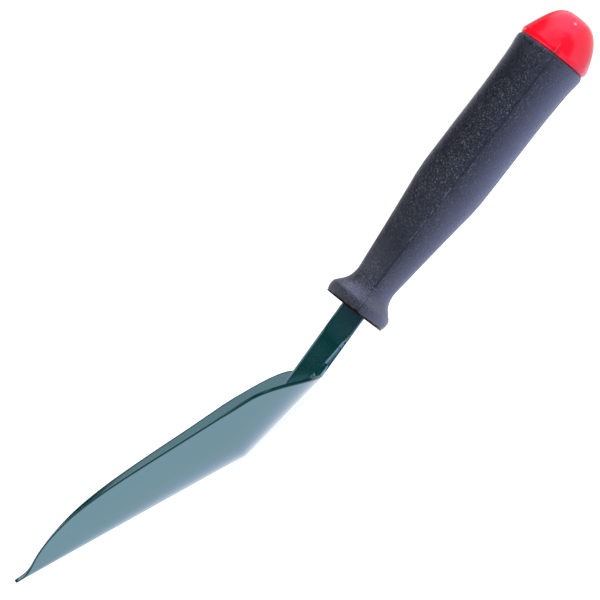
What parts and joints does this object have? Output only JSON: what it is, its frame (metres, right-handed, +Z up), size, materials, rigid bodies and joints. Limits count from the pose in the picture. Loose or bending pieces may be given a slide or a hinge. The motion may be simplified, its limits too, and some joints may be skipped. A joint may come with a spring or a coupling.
{
  "type": "hand planting trowel",
  "caption": "Narrow pointed hand trowel: a green pressed-steel trough blade on a cranked flat shank, black soft grip with a flange and a red domed end.",
  "frame": {"origin": "middle of the underside of the tool's box, as it lies on a table on its heel and flange with the trough open upwards", "axes": "+X along the tool from the blade's tip towards the red end, +Y across it, +Z up"},
  "size_m": [0.32, 0.066, 0.0511],
  "materials": {
    "green_paint": "glossy dark green enamel",
    "red_plastic": "glossy red moulded plastic",
    "black_rubber": "matte, finely grained soft rubber"
  },
  "bodies": {
    "root": {"blade": "green_paint", "shank": "green_paint", "weld_left": "green_paint", "weld_right": "green_paint", "handle_core": "red_plastic", "grip_sleeve": "black_rubber"}
  },
  "joints": []
}
